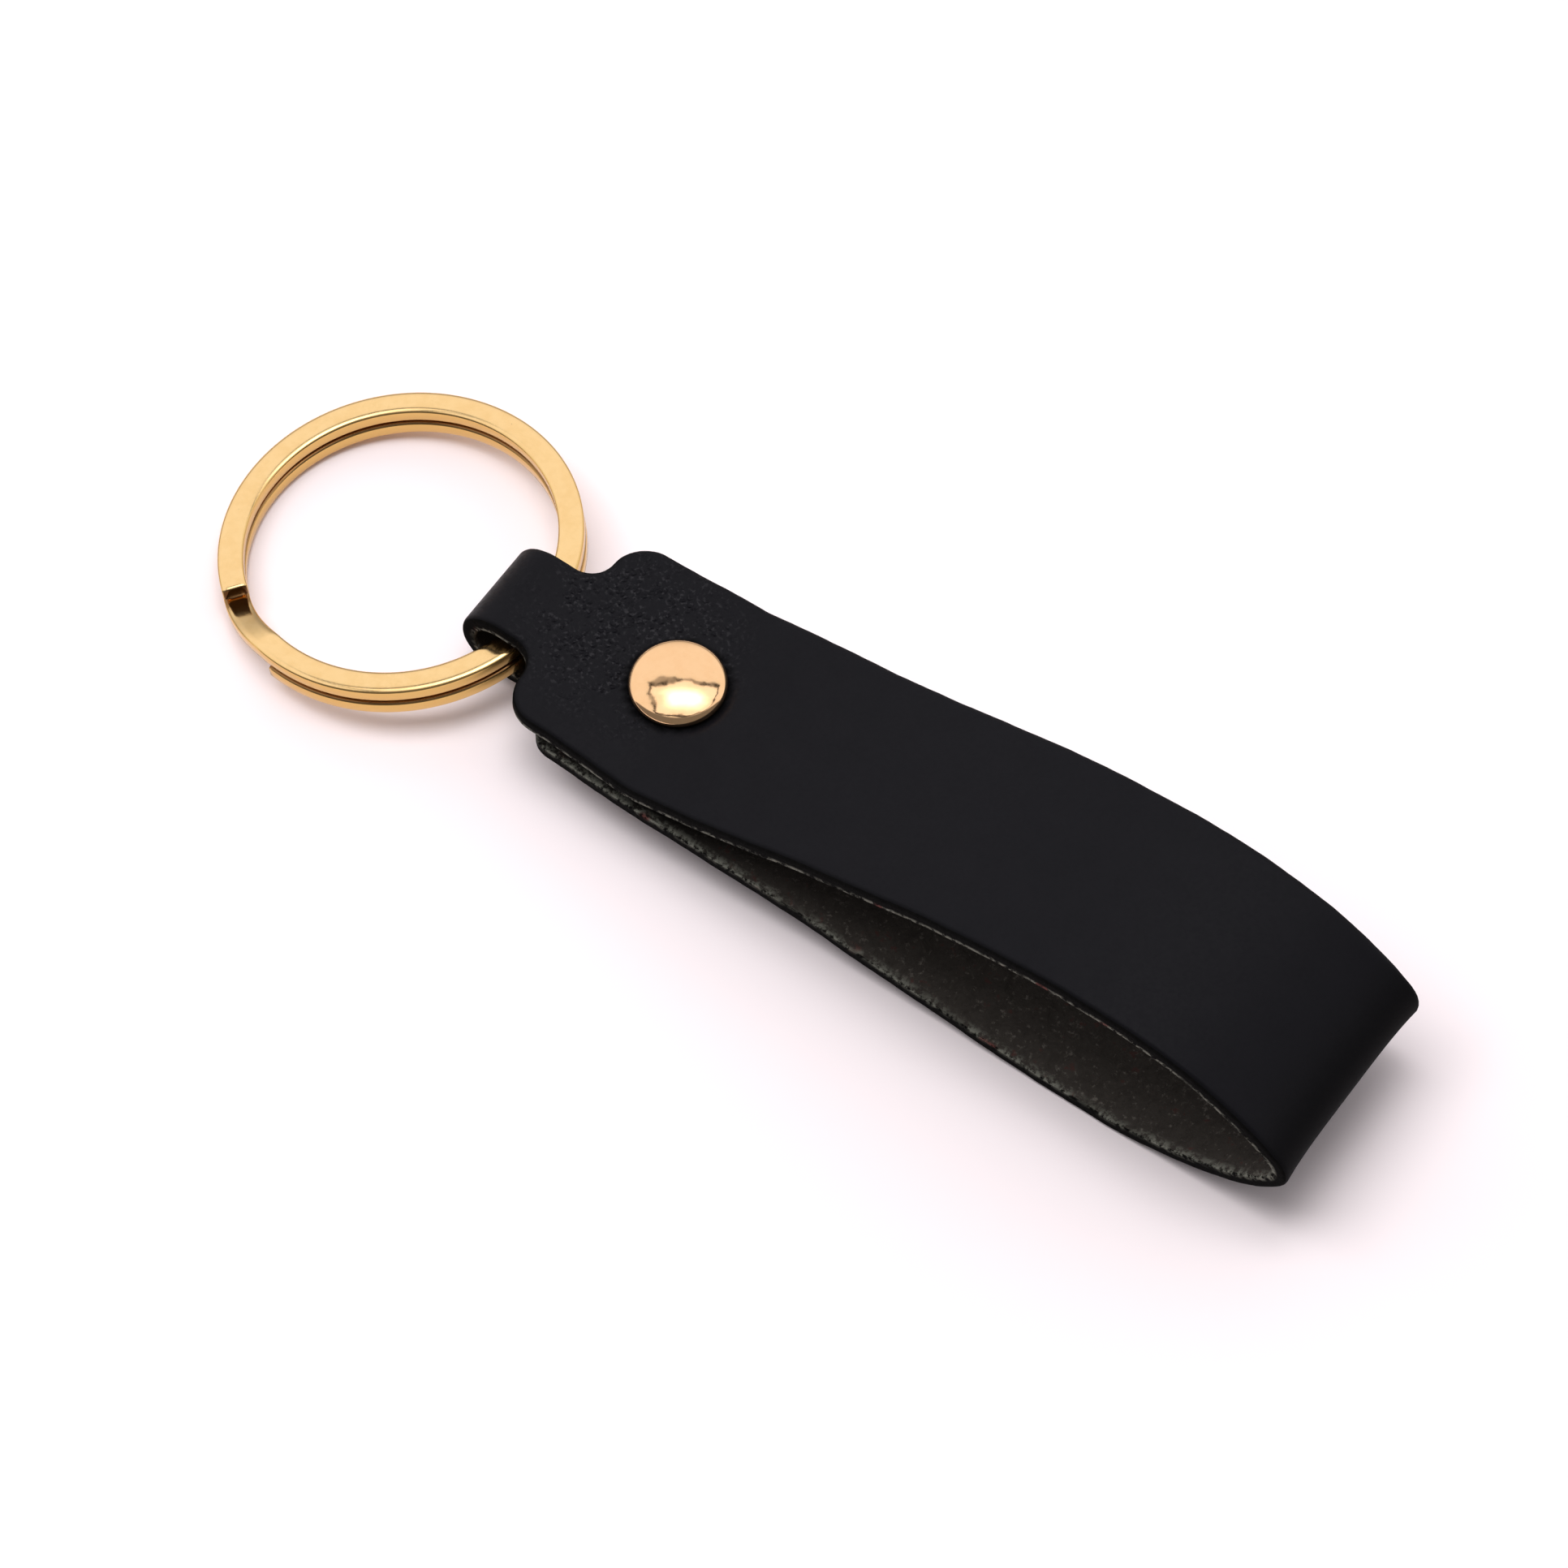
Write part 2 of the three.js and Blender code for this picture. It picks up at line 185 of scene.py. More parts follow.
SIDE_WALL_SHADE = (0.2, 0.05)      # how far in from its side the painted shade on the wire's side walls starts, and is full
GROOVE_SHADE_OUT = (0.62, 0.85)    # how far from the wire's middle line the painted shade in the groove between the coils comes in
GROOVE_SHADE_NEAR = (0.72, 0.88)   # how near to the other coil, as a share of half the thickness

# ---- Colours -----------------------------------------------------------------------------------

GRAIN_BLACK = (0.0036, 0.0034, 0.0050, 1)
GRAIN_SOFT_BLACK = (0.0050, 0.0047, 0.0066, 1)
GRAIN_LIT_TIPS = (0.0215, 0.0205, 0.0235, 1)
# Darker grain where it rolls into the cut edge, and painted shade round the fold and at the caps'
# rims.
ROLLED_AND_SHADED_BLACK = (0.0010, 0.0010, 0.0011, 1)
CUT_EDGE_BLACK = (0.0012, 0.0012, 0.0013, 1)
CUT_EDGE_STRANDS = (0.0060, 0.0058, 0.0055, 1)
PALE_FIBRE = (0.17, 0.17, 0.145, 1)
RED_FIBRE = (0.13, 0.05, 0.045, 1)
FLESH_BLACK = (0.0150, 0.0125, 0.0108, 1)
FLESH_FUZZ = (0.068, 0.060, 0.053, 1)
FLESH_SPECKS = (0.120, 0.108, 0.096, 1)
FLESH_RED_FLECKS = (0.060, 0.032, 0.028, 1)
# Painted shade on the flesh side, between the layers and in the neck.
FLESH_SHUT_IN_SHADE = (0.0080, 0.0070, 0.0062, 1)

RING_GOLD = (1.0, 0.69, 0.33, 1)
RING_GOLD_DEEP = (0.93, 0.60, 0.25, 1)
CAP_GOLD = (1.0, 0.64, 0.35, 1)
CAP_GOLD_DEEP = (0.95, 0.56, 0.28, 1)
BRASS = (0.62, 0.42, 0.18, 1)
BRASS_DEEP = (0.5, 0.32, 0.12, 1)
METAL_PITS = (0.55, 0.34, 0.14, 1)
# Painted shade on the wire's side walls.
METAL_SIDE_SHADE = (0.70, 0.44, 0.15, 1)
# Painted shade in the groove between the ring's coils.
METAL_GROOVE_SHADE = (0.26, 0.13, 0.05, 1)
# Painted shade on the wire's cut ends.
METAL_CUT_END_SHADE = (0.10, 0.045, 0.015, 1)

FLOOR_WHITE = (0.95, 0.865, 0.89, 1)
ROOM_WHITE = (1.0, 0.985, 0.99, 1)

# ---- Floor, light and camera: sizes in metres, angles in degrees -------------------------------

FLOOR_HALF_SIZE = 6.0

# Directions are counted from the far horizon, as the camera sees it, over the top: 90 is straight
# up and 180 is the horizon at the camera's back. "Sideways" is counted to the camera's right.
SOFTBOX_FROM = 64.5
SOFTBOX_TO = 92.0
SOFTBOX_CENTRE = 4.5         # sideways
SOFTBOX_HALF_WIDTH = 23.5    # sideways
SOFTBOX_MIDDLE = 3.8         # the softbox's brightness, at its middle and at its rim
SOFTBOX_RIM = 1.25
GLOW_SOFTNESS = 8            # half the width of its fall from the one to the other
GLOW_SIDE_SOFTNESS = 9
FRAME_WIDTH = 4.5            # the dark frame round the softbox
SIDE_FRAME_WIDTH = 2.6
FRAME_DARKNESS = 0.02
FRAME_SOFTNESS = 0.8         # half the width of its blurred edges
FRAME_RAGGED = 0.045         # how far those wander, in radians
ROOM_BEHIND = 1.0            # the room's brightness behind the keychain, and at the camera
ROOM_AT_CAMERA = 0.2
ROOM_DIMS = (93, 104)        # where it falls from the one to the other
HORIZON_SHARE = 0.35         # how much of the room's brightness is left down at the far horizon
HORIZON_FADE = (8, 32)       # between which it grows back to all of it

KEY_OVER = 89.0              # the direction of the lamp that gives the softbox's light
KEY_SIDEWAYS = -12.0
KEY_DISTANCE = 0.7
KEY_SIZE = (0.62, 0.36)
KEY_RADIANCE = 4.6

CAMERA_AZIMUTH = math.radians(35.95)
CAMERA_ELEVATION = math.radians(60.06)
CAMERA_ROLL = math.radians(-0.86)
CAMERA_DISTANCE = 0.676
CAMERA_TARGET = Vector((9.30 * MM + RIVET_X, 1.33 * MM, 0))
CAMERA_LENS = 193.85


# ---- General helpers ---------------------------------------------------------------------------

def smoothstep(value, low, high):
    t = np.clip((value - low) / (high - low), 0, 1)
    return t * t * (3 - 2 * t)


def wave(values, seed, longest):
    """A smooth wandering value between about -1 and 1 along `values`, the same on every run."""
    random = np.random.default_rng(seed)
    total = np.zeros_like(values, dtype=float)
    for octave in range(3):
        length = longest / 1.9 ** octave
        total += np.sin(2 * np.pi * (values / length + random.random())) / 1.5 ** octave
    return total / 2


def to_row(points):
    """Millimetres round the rivet's axis, to metres in the part's frame."""
    moved = np.array(points, dtype=float) * MM
    moved[:, 0] += RIVET_X
    return moved


def tube_faces(ring_count, per_ring, first=0):
    """The faces between closed rings of points that follow one another."""
    faces = []
    for ring in range(ring_count - 1):
        a = first + ring * per_ring
        b = a + per_ring
        for i in range(per_ring):
            j = (i + 1) % per_ring
            faces.append((a + i, b + i, b + j, a + j))
    return faces


def make_object(name, points, faces, materials, face_slots=None):
    mesh = bpy.data.meshes.new(name)
    mesh.from_pydata([tuple(p) for p in to_row(points)], [], faces)
    for material in materials:
        mesh.materials.append(material)
    if face_slots is not None:
        mesh.polygons.foreach_set("material_index", face_slots)
    mesh.polygons.foreach_set("use_smooth", [True] * len(faces))
    mesh.validate()
    mesh.update()
    piece = bpy.data.objects.new(name, mesh)
    bpy.context.scene.collection.objects.link(piece)
    return piece


def add_attribute(piece, name, kind, values):
    """Stores a number or a vector for each point of a piece, for its material to read."""
    field = "vector" if kind == "FLOAT_VECTOR" else "value"
    attribute = piece.data.attributes.new(name, kind, "POINT")
    attribute.data.foreach_set(field, np.asarray(values, dtype=np.float32).ravel())


# ---- Shader node helpers -----------------------------------------------------------------------

def new_material(name):
    material = bpy.data.materials.new(name)
    material.use_nodes = True
    tree = material.node_tree
    tree.nodes.clear()
    shader = tree.nodes.new("ShaderNodeBsdfPrincipled")
    output = tree.nodes.new("ShaderNodeOutputMaterial")
    tree.links.new(shader.outputs["BSDF"], output.inputs["Surface"])
    return material, tree, shader


def plug(tree, socket, value):
    """Sets a socket to a number or colour, or links it to another node's output."""
    if isinstance(value, bpy.types.NodeSocket):
        tree.links.new(value, socket)
    else:
        socket.default_value = value


def attribute(tree, name, output="Fac"):
    node = tree.nodes.new("ShaderNodeAttribute")
    node.attribute_name = name
    return node.outputs[output]


def noise(tree, vector, scale, detail=2.0, roughness=0.5, distortion=0.0, output="Fac"):
    node = tree.nodes.new("ShaderNodeTexNoise")
    plug(tree, node.inputs["Vector"], vector)
    node.inputs["Scale"].default_value = scale
    node.inputs["Detail"].default_value = detail
    node.inputs["Roughness"].default_value = roughness
    node.inputs["Distortion"].default_value = distortion
    return node.outputs[output]


def cells(tree, vector, scale):
    """How far each place is from the middle of its own small cell."""
    node = tree.nodes.new("ShaderNodeTexVoronoi")
    plug(tree, node.inputs["Vector"], vector)
    node.inputs["Scale"].default_value = scale
    return node.outputs["Distance"]


def add_vectors(tree, a, b, share_of_b):
    scaled = tree.nodes.new("ShaderNodeVectorMath")
    scaled.operation = "SCALE"
    plug(tree, scaled.inputs[0], b)
    scaled.inputs["Scale"].default_value = share_of_b
    added = tree.nodes.new("ShaderNodeVectorMath")
    plug(tree, added.inputs[0], a)
    plug(tree, added.inputs[1], scaled.outputs["Vector"])
    return added.outputs["Vector"]


def dot(tree, vector, other):
    node = tree.nodes.new("ShaderNodeVectorMath")
    node.operation = "DOT_PRODUCT"
    plug(tree, node.inputs[0], vector)
    node.inputs[1].default_value = other
    return node.outputs["Value"]


def math_node(tree, operation, a, b=0.0):
    node = tree.nodes.new("ShaderNodeMath")
    node.operation = operation
    plug(tree, node.inputs[0], a)
    plug(tree, node.inputs[1], b)
    return node.outputs[0]


def remap(tree, value, low, high, to_low=0.0, to_high=1.0):
    """Takes the range low..high smoothly to to_low..to_high, and stays there outside it."""
    node = tree.nodes.new("ShaderNodeMapRange")
    node.interpolation_type = "SMOOTHSTEP"
    plug(tree, node.inputs["Value"], value)
    plug(tree, node.inputs["From Min"], low)
    plug(tree, node.inputs["From Max"], high)
    plug(tree, node.inputs["To Min"], to_low)
    plug(tree, node.inputs["To Max"], to_high)
    return node.outputs["Result"]


def blend_colour(tree, factor, a, b):
    node = tree.nodes.new("ShaderNodeMix")
    node.data_type = "RGBA"
    plug(tree, node.inputs["Factor"], factor)
    plug(tree, node.inputs["A"], a)
    plug(tree, node.inputs["B"], b)
    return node.outputs["Result"]


def bump(tree, height, distance, strength=1.0, below=None):
    node = tree.nodes.new("ShaderNodeBump")
    plug(tree, node.inputs["Height"], height)
    node.inputs["Distance"].default_value = distance
    node.inputs["Strength"].default_value = strength
    if below is not None:
        tree.links.new(below, node.inputs["Normal"])
    return node.outputs["Normal"]


# ---- Materials ---------------------------------------------------------------------------------

def leather_grain():
    """Smooth black grain, pebbled where the leather was worked: round the neck and the rivet."""
    material, tree, shader = new_material("black_leather_grain")
    flat = attribute(tree, "flat", "Vector")
    rolled_and_shaded = attribute(tree, "rolled_and_shaded")

    pores = noise(tree, flat, scale=3.6, detail=3.0, roughness=0.6)
    soft = noise(tree, flat, scale=0.35)
    patches = remap(tree, noise(tree, flat, scale=0.6, detail=3.0, roughness=0.6), 0.36, 0.56)
    amount = math_node(tree, "MULTIPLY", attribute(tree, "worked"), patches)
    ruffled = add_vectors(tree, flat, noise(tree, flat, scale=1.3, output="Color"), 0.5)
    pebbles = remap(tree, cells(tree, ruffled, scale=1.9), 0.05, 0.6, 1.0, 0.0)
    pebble_height = math_node(tree, "MULTIPLY", pebbles, amount)
    normal = bump(tree, pores, distance=0.000014, strength=0.6)
    normal = bump(tree, pebble_height, distance=0.00013, below=normal)
    tree.links.new(normal, shader.inputs["Normal"])

    tips = remap(tree, noise(tree, flat, scale=2.9, roughness=0.6), 0.52, 0.66)
    lit_tips = math_node(tree, "MULTIPLY", amount, tips)
    face = blend_colour(tree, soft, GRAIN_BLACK, GRAIN_SOFT_BLACK)
    face = blend_colour(tree, lit_tips, face, GRAIN_LIT_TIPS)
    # Darker where the grain rolls into the cut edge, with painted shade round the fold and at the
    # caps' rims.
    face = blend_colour(tree, rolled_and_shaded, face, ROLLED_AND_SHADED_BLACK)
    plug(tree, shader.inputs["Base Color"], face)

    satin = remap(tree, pores, 0.3, 0.7, 0.42, 0.54)
    plug(tree, shader.inputs["Roughness"], remap(tree, rolled_and_shaded, 0.0, 1.0, satin, 0.95))
    shader.inputs["Specular IOR Level"].default_value = 0.11
    return material


def fibre_line(tree, flat, base):
    """Lays the pale cut fibres over a colour: broken dashes along the corner of the flesh side."""
    dashes = remap(tree, noise(tree, flat, scale=1.6, detail=4.0, roughness=0.75), 0.42, 0.58)
    gaps = remap(tree, noise(tree, flat, scale=0.28, roughness=0.6), 0.34, 0.5, 0.25, 1.0)
    broken = math_node(tree, "MULTIPLY", dashes, gaps)
    pale = math_node(tree, "MULTIPLY", attribute(tree, "fibre"), broken)
    red = remap(tree, noise(tree, flat, scale=0.31, detail=1.0), 0.66, 0.72)
    return blend_colour(tree, pale, base, blend_colour(tree, red, PALE_FIBRE, RED_FIBRE))


def leather_edge():
    """The die-cut edge: matt and nearly black, with a broken line of fibre at the flesh side."""
    material, tree, shader = new_material("black_leather_cut_edge")
    flat = attribute(tree, "flat", "Vector")
    strands = noise(tree, flat, scale=2.6, detail=3.0, roughness=0.7)
    base = blend_colour(tree, strands, CUT_EDGE_BLACK, CUT_EDGE_STRANDS)
    plug(tree, shader.inputs["Base Color"], fibre_line(tree, flat, base))
    shader.inputs["Roughness"].default_value = 0.85
    shader.inputs["Specular IOR Level"].default_value = 0.03
    normal = bump(tree, strands, distance=0.00009, strength=0.9)
    tree.links.new(normal, shader.inputs["Normal"])
    return material


def leather_flesh():
    """The split side inside the loop: brown-black, fuzzy and specked."""
    material, tree, shader = new_material("black_leather_flesh_side")
    flat = attribute(tree, "flat", "Vector")
    fuzz = noise(tree, flat, scale=0.9, detail=5.0, roughness=0.8, distortion=0.6)
    specks = remap(tree, noise(tree, flat, scale=1.9, detail=3.0, roughness=0.7), 0.56, 0.76)
    flecks = remap(tree, noise(tree, flat, scale=0.9, detail=3.0, roughness=0.6), 0.62, 0.7)
    base = blend_colour(tree, fuzz, FLESH_BLACK, FLESH_FUZZ)
    base = blend_colour(tree, specks, base, FLESH_SPECKS)
    base = blend_colour(tree, flecks, base, FLESH_RED_FLECKS)
    # Painted shade where the flesh side is shut in, between the layers and in the neck.
    base = blend_colour(tree, attribute(tree, "shut_in_shade"), base, FLESH_SHUT_IN_SHADE)
    plug(tree, shader.inputs["Base Color"], fibre_line(tree, flat, base))
    shader.inputs["Roughness"].default_value = 0.95
    shader.inputs["Specular IOR Level"].default_value = 0.08
    tree.links.new(bump(tree, fuzz, distance=0.00022), shader.inputs["Normal"])
    return material


def plated_metal(name, colour, deep_colour, roughness, mottle):
    """Plating with a satin grain, a few tiny pits and a slightly uneven tone."""
    material, tree, shader = new_material(name)
    place = tree.nodes.new("ShaderNodeTexCoord").outputs["Object"]
    cloud = noise(tree, place, scale=900.0, detail=4.0, roughness=0.65)
    grain = noise(tree, place, scale=9000.0, roughness=0.6)
    pits = remap(tree, noise(tree, place, scale=2600.0, detail=1.0), 0.79, 0.84)
    tone = math_node(tree, "MULTIPLY", remap(tree, cloud, 0.35, 0.7), mottle)
    worn = blend_colour(tree, tone, colour, deep_colour)
    worn = blend_colour(tree, pits, worn, METAL_PITS)
    # Painted shade on the split ring's side walls.
    worn = blend_colour(tree, attribute(tree, "wire_side_shade"), worn, METAL_SIDE_SHADE)
    # Painted shade in the groove between the coils.
    worn = blend_colour(tree, attribute(tree, "groove_shade"), worn, METAL_GROOVE_SHADE)
    # Painted shade on the split ring's cut ends.
    worn = blend_colour(tree, attribute(tree, "cut_end_shade"), worn, METAL_CUT_END_SHADE)
    plug(tree, shader.inputs["Base Color"], worn)
    shader.inputs["Metallic"].default_value = 1.0
    satin = remap(tree, grain, 0.3, 0.7, roughness * 0.85, roughness * 1.2)
    plug(tree, shader.inputs["Roughness"], satin)
    normal = bump(tree, grain, distance=0.0000012, strength=0.5)
    tree.links.new(normal, shader.inputs["Normal"])
    return material


def floor_material():
    material, _, shader = new_material("pale_floor")
    shader.inputs["Base Color"].default_value = FLOOR_WHITE
    shader.inputs["Roughness"].default_value = 0.9
    shader.inputs["Specular IOR Level"].default_value = 0.1
    return material


# ---- The strap's side view ---------------------------------------------------------------------

def line(a, b):
    count = max(2, int(math.dist(a, b) / 0.05))
    return np.linspace(a, b, count)


def arc(cx, cz, radius, start, stop):
    angles = np.linspace(start, stop, max(8, int(abs(stop - start) * radius / 0.03)))
    return np.stack([cx + radius * np.cos(angles), cz + radius * np.sin(angles)], 1)


def bezier(a, b, c, d):
    t = np.linspace(0, 1, 400)[:, None]
    a, b, c, d = (np.array(p, dtype=float) for p in (a, b, c, d))
    return (1 - t) ** 3 * a + 3 * (1 - t) ** 2 * t * b + 3 * (1 - t) * t * t * c + t ** 3 * d


def joined(pieces):
    """One run of points, without the first point of each piece that goes on from another."""
    return np.concatenate([pieces[0]] + [piece[1:] for piece in pieces[1:]])


def run_lengths(points):
    """How far along its own run each point is."""
    steps = np.hypot(*np.diff(points, axis=0).T)
    return np.concatenate([[0], np.cumsum(steps)])


def along_slope(point, length):
    slope = point["slope"]
    return point["x"] + length * math.cos(slope), point["z"] + length * math.sin(slope)


def on_fold(angle):
    radius = FOLD["radius"]
    return FOLD["x"] + radius * math.cos(angle), FOLD["z"] + radius * math.sin(angle)


def neck_path():
    """From the tail's end, round the split ring, to where the top layer starts to lie flat."""
    neck_radius = EYE_RADIUS + HALF_THICKNESS
    steep = math.pi / 2 - EYE_LEAVE_ANGLE
    leave_z = EYE_Z - neck_radius * math.sin(EYE_LEAVE_ANGLE)
    return_radius = (TAIL_LAYER_Z - leave_z) / (1 - math.cos(steep))
    return_x = EYE_X + neck_radius * math.cos(EYE_LEAVE_ANGLE) + return_radius * math.sin(steep)
    return_z = TAIL_LAYER_Z - return_radius
    fold_x = EYE_X - EYE_LENGTH
    eye_top = EYE_Z + neck_radius
    eye_bottom = EYE_Z - neck_radius
    return joined([
        line((TAIL_END_X, TAIL_LAYER_Z), (return_x, TAIL_LAYER_Z)),
        arc(return_x, return_z, return_radius, math.pi / 2, math.pi / 2 + steep),
        arc(EYE_X, EYE_Z, neck_radius, -EYE_LEAVE_ANGLE, -math.pi / 2),
        line((EYE_X, eye_bottom), (fold_x, eye_bottom)),
        arc(fold_x, EYE_Z, neck_radius, -math.pi / 2, -math.pi * 3 / 2),
        bezier(
            (fold_x, eye_top), (fold_x + NECK_HANDLE, eye_top),
            (FLAT_START_X - NECK_HANDLE, TOP_LAYER_Z), (FLAT_START_X, TOP_LAYER_Z)),
    ])


def loop_path():
    """On from there over the rivet, round the finger loop, and back under the rivet."""
    pad_z = HALF_THICKNESS
    top, down = FOLD["top_angle"], FOLD["bottom_angle"]
    start = on_fold(math.pi / 2 - top)
    stop = on_fold(down - math.pi / 2)
    before_start = (
        start[0] - FOLD["before"] * math.cos(top), start[1] + FOLD["before"] * math.sin(top))
    after_stop = (
        stop[0] - FOLD["after"] * math.cos(down), stop[1] - FOLD["after"] * math.sin(down))
    return joined([
        line((FLAT_START_X, TOP_LAYER_Z), (CLAMPED_HALF_LENGTH, TOP_LAYER_Z)),
        bezier(
            (CLAMPED_HALF_LENGTH, TOP_LAYER_Z),
            (CLAMPED_HALF_LENGTH + TOP_RUN_START, TOP_LAYER_Z),
            along_slope(TOP_RUN, -TOP_RUN["before"]), (TOP_RUN["x"], TOP_RUN["z"])),
        bezier(
            (TOP_RUN["x"], TOP_RUN["z"]), along_slope(TOP_RUN, TOP_RUN["after"]),
            (CROWN["x"] - CROWN["before"], CROWN["z"]), (CROWN["x"], CROWN["z"])),
        bezier(
            (CROWN["x"], CROWN["z"]), (CROWN["x"] + CROWN["after"], CROWN["z"]),
            before_start, start),
        arc(FOLD["x"], FOLD["z"], FOLD["radius"], math.pi / 2 - top, down - math.pi / 2),
        bezier(
            stop, after_stop,
            (FOOT_PAD["start"] + FOOT_PAD["before"], pad_z), (FOOT_PAD["start"], pad_z)),
        line((FOOT_PAD["start"], pad_z), (FOOT_PAD["stop"], pad_z)),
        bezier(
            (FOOT_PAD["stop"], pad_z), (FOOT_PAD["stop"] - FOOT_PAD["after"], pad_z),
            along_slope(BOTTOM_RUN, BOTTOM_RUN["before"]), (BOTTOM_RUN["x"], BOTTOM_RUN["z"])),
        bezier(
            (BOTTOM_RUN["x"], BOTTOM_RUN["z"]), along_slope(BOTTOM_RUN, -BOTTOM_RUN["after"]),
            (CLAMPED_HALF_LENGTH + BOTTOM_RUN_END, BOTTOM_LAYER_Z),
            (CLAMPED_HALF_LENGTH, BOTTOM_LAYER_Z)),
        line((CLAMPED_HALF_LENGTH, BOTTOM_LAYER_Z), (BOTTOM_END_X, BOTTOM_LAYER_Z)),
    ])


def strip_path():
    """The side view of the middle of the strip's thickness, and how far along its landmarks are."""
    neck = neck_path()
    path = joined([neck, loop_path()])
    lengths = run_lengths(path)
    flat_start = run_lengths(neck)[-1]
    places = dict(
        shoulder=flat_start - (FLAT_START_X - SHOULDER_X),
        rivet=flat_start - FLAT_START_X,
        crown=lengths[np.argmax(path[:, 1])],
        fold=lengths[np.argmax(path[:, 0])],
        end=lengths[-1],
    )
    return path, lengths, places


# ---- The strap's outline and mesh --------------------------------------------------------------

def half_outline(total, shoulder):
    """One side of the flat strip as (s, y) points, with the inward normal at each."""
    neck = NECK_WIDTH / 2
    body = BODY_WIDTH / 2
    quarter = np.radians(np.linspace(0, 90, CORNER_POINTS))
    points = []

    def corner(cs, cy, radius, start, turn):
        for angle in quarter:
            a = math.radians(start) + turn * angle
            points.append((cs + radius * math.cos(a), cy + radius * math.sin(a)))

    def straight(a, b, y, step):
        count = max(2, int((b - a) / step))
        points.extend((s, y) for s in np.linspace(a, b, count + 1)[1:-1])

    corner(END_RADIUS, neck - END_RADIUS, END_RADIUS, 180, -1)
    straight(END_RADIUS, shoulder - FILLET_RADIUS, neck, NECK_STEP)
    corner(shoulder - FILLET_RADIUS, neck + FILLET_RADIUS, FILLET_RADIUS, -90, 1)
    points.pop()       # the shoulder's outer corner starts at this same point
    corner(shoulder + CORNER_RADIUS, body - CORNER_RADIUS, CORNER_RADIUS, 180, -1)
    straight(shoulder + CORNER_RADIUS, total - END_RADIUS, body, BODY_STEP)
    corner(total - END_RADIUS, body - END_RADIUS, END_RADIUS, 90, -1)
    outline = np.array(points)
    tangent = np.gradient(outline, axis=0)
    tangent /= np.linalg.norm(tangent, axis=1)[:, None]
    normal = np.stack([tangent[:, 1], -tangent[:, 0]], 1)
    normal[0] = (1, 0)
    normal[-1] = (-1, 0)
    return outline, normal


def whole_outline(outline, normal):
    """The tail's end, the +Y side, the wide end and back along the -Y side, with their normals."""
    mirrored = (1, -1)
    (tail_s, tail_y), (wide_s, wide_y) = outline[0], outline[-1]
    tail_end = np.stack([np.full(COLUMNS + 1, tail_s), tail_y * ACROSS], 1)
    wide_end = np.stack([np.full(COLUMNS + 1, wide_s), -wide_y * ACROSS], 1)
    sides = [tail_end, outline[1:-1], wide_end, outline[-2:0:-1] * mirrored]
    tail_normals = np.tile(normal[0], (COLUMNS + 1, 1))
    wide_normals = np.tile(normal[-1], (COLUMNS + 1, 1))
    normals = [tail_normals, normal[1:-1], wide_normals, normal[-2:0:-1] * mirrored]
    return np.concatenate(sides), np.concatenate(normals)


def edge_profile():
    """(inset, height) of the rings round the strip's edge, from the grain face to the flesh face."""
    rings = []
    for angle in np.radians(np.linspace(0, 90, GRAIN_EDGE_RINGS)):
        drop = GRAIN_DROP * (1 - math.cos(angle))
        rings.append((GRAIN_EDGE * (1 - math.sin(angle)), HALF_THICKNESS - drop))
    rings += [(0.0, height) for height in CUT_EDGE_HEIGHTS]
    for angle in np.radians(np.linspace(30, 90, 3)):
        height = FLESH_EDGE - HALF_THICKNESS - FLESH_EDGE * math.sin(angle)
        rings.append((FLESH_EDGE * (1 - math.cos(angle)), height))
    return rings


def edge_rings(sides, normals):
    """The rings of points round the strip's edge, with s, y, h, rolled_and_shaded and fibre for each
    point.
    """
    around = run_lengths(np.vstack([sides, sides[:1]]))[:-1]
    slow = wave(around, 7, SLOW_WAVE)
    quick = wave(around, 8, QUICK_WAVE)
    wander = EDGE_WAVE * slow + QUICK_SHARE * EDGE_WAVE * quick
    rings = []
    for index, (inset, height) in enumerate(edge_profile()):
        move = inset - wander * min(1.0, 1 + WANDER_KEPT - inset / GRAIN_EDGE)
        rolled_and_shaded = min(index / (GRAIN_EDGE_RINGS - 1), 1.0)
        fibre = smoothstep(-height, *FIBRE_DEPTH)
        same_all_round = np.tile((height, rolled_and_shaded, fibre), (len(sides), 1))
        rings.append(np.hstack([sides + normals * move[:, None], same_all_round]))
    return rings


def face_inside(ring, rows, height, rim_fibre):
    """The points inside a face, in rows from the -Y side of its ring to the +Y side."""
    right = ring[::-1][:rows - 2]
    left = ring[COLUMNS + 1:COLUMNS + rows - 1]
    share = (ACROSS[1:-1] + 1) / 2
    inside = []
    for a, b in zip(right, left):
        s = a[0] + (b[0] - a[0]) * share
        y = a[1] + (b[1] - a[1]) * share
        h = np.full(COLUMNS - 1, height)
        rolled_and_shaded = np.zeros(COLUMNS - 1)
        edge_distance = np.minimum(share, 1 - share) * abs(b[1] - a[1])
        fibre = rim_fibre * (1 - smoothstep(edge_distance, 0.0, FLESH_RIM_WIDTH))
        inside.append(np.stack([s, y, h, rolled_and_shaded, fibre], 1))
    return np.concatenate(inside)


